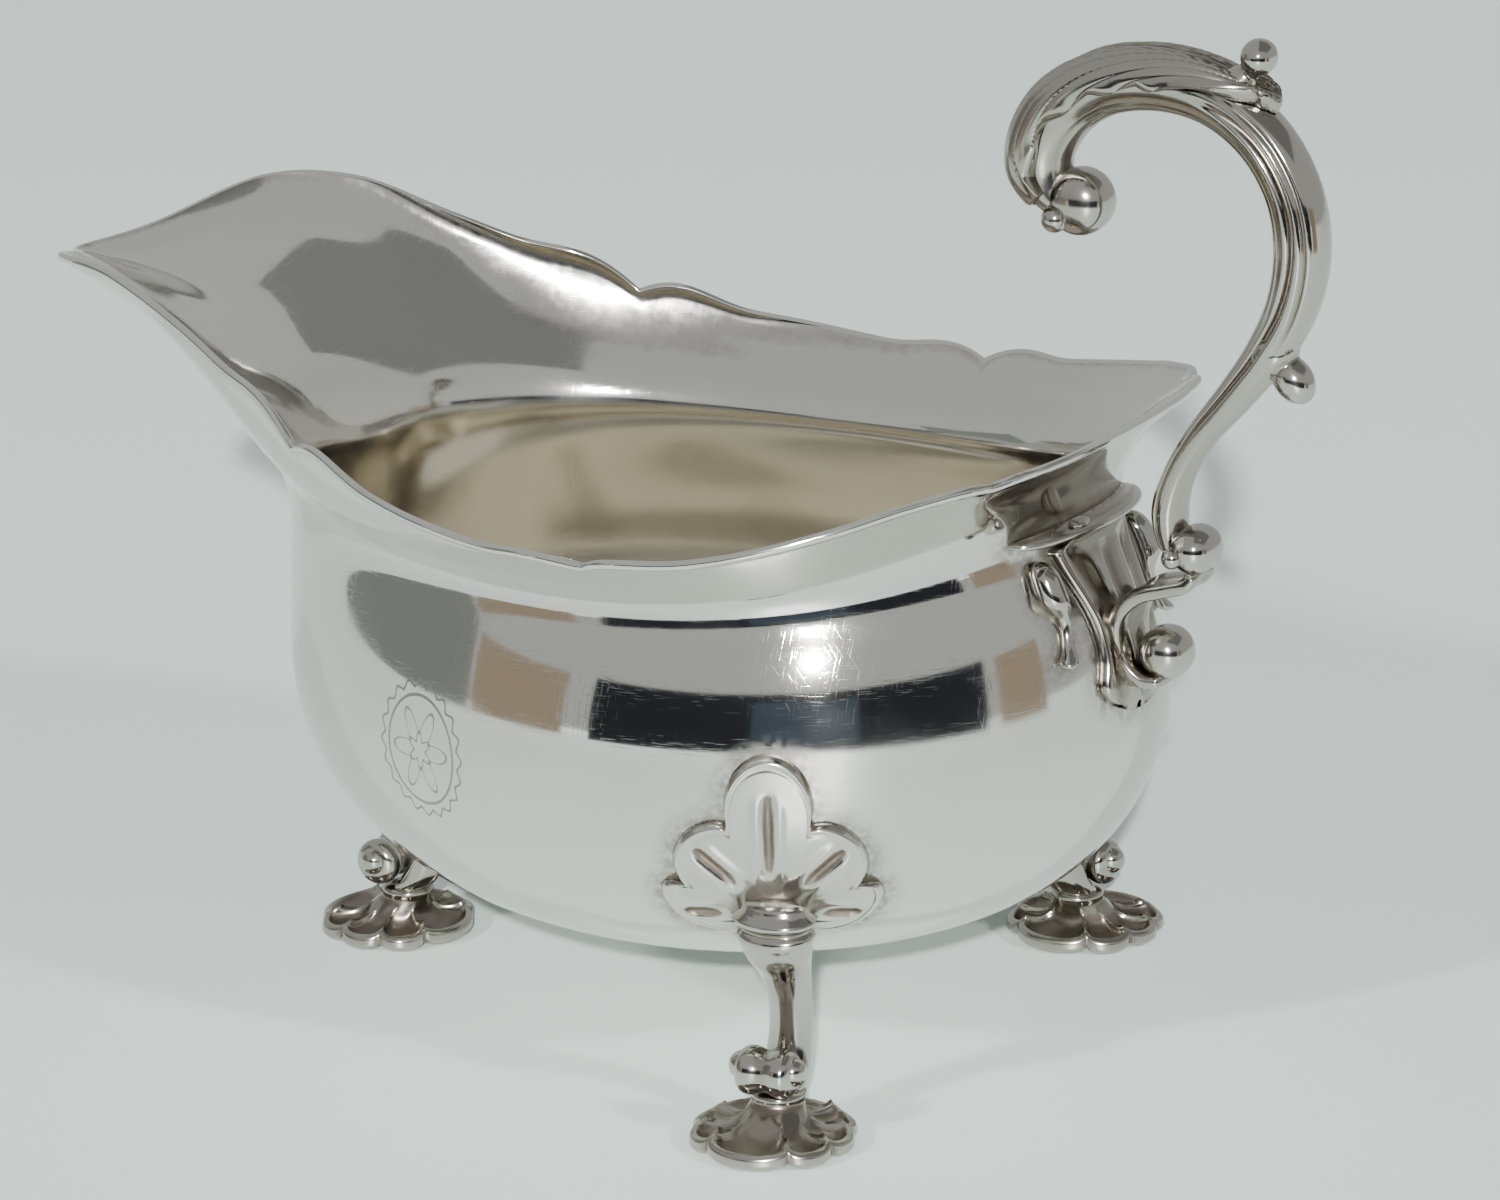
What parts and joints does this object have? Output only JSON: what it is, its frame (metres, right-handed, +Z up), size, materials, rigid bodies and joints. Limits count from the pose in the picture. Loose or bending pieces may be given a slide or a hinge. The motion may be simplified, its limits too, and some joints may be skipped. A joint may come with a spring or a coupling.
{
  "type": "sauce boat",
  "caption": "Boat-shaped sauce server with a scalloped rim, a broad pouring lip, a flying scroll handle and feet with shell knees and fluted pads.",
  "frame": {"origin": "on the table, under the middle of the overall box", "axes": "+Z up, +X towards the handle, -X towards the pouring lip, both sides of Y = 0 alike"},
  "size_m": [0.1983, 0.1142, 0.1448],
  "materials": {
    "bowl": "polished silver, light scratches, warm film inside",
    "escutcheon": "cast silver with brown tarnish in the hollows",
    "handle": "cast silver, polished on the high parts",
    "handle_leaf": "cast silver, dark tarnish between the flutes",
    "knee": "cast silver, tarnish in the flutes and round the edge",
    "leg": "cast silver, polished on the high parts",
    "foot_pad": "cast silver, worn bright at the edge and dark in the hollows"
  },
  "bodies": {
    "root": {"body": "bowl", "escutcheon_plate": "escutcheon", "escutcheon_bar": "escutcheon", "escutcheon_scroll_near": "escutcheon", "escutcheon_scroll_far": "escutcheon", "handle_scroll": "handle", "handle_leaf": "handle_leaf", "inner_volute": "handle", "middle_volute": "handle", "lower_volute": "handle", "thumb_roll": "handle", "handle_spur": "handle", "lower_scroll": "handle", "knee_shell_front": "knee", "leg_front": "leg", "ankle_scroll_front": "leg", "foot_pad_front": "foot_pad", "knee_shell_near": "knee", "leg_near": "leg", "ankle_scroll_near": "leg", "foot_pad_near": "foot_pad", "knee_shell_far": "knee", "leg_far": "leg", "ankle_scroll_far": "leg", "foot_pad_far": "foot_pad"}
  },
  "joints": []
}
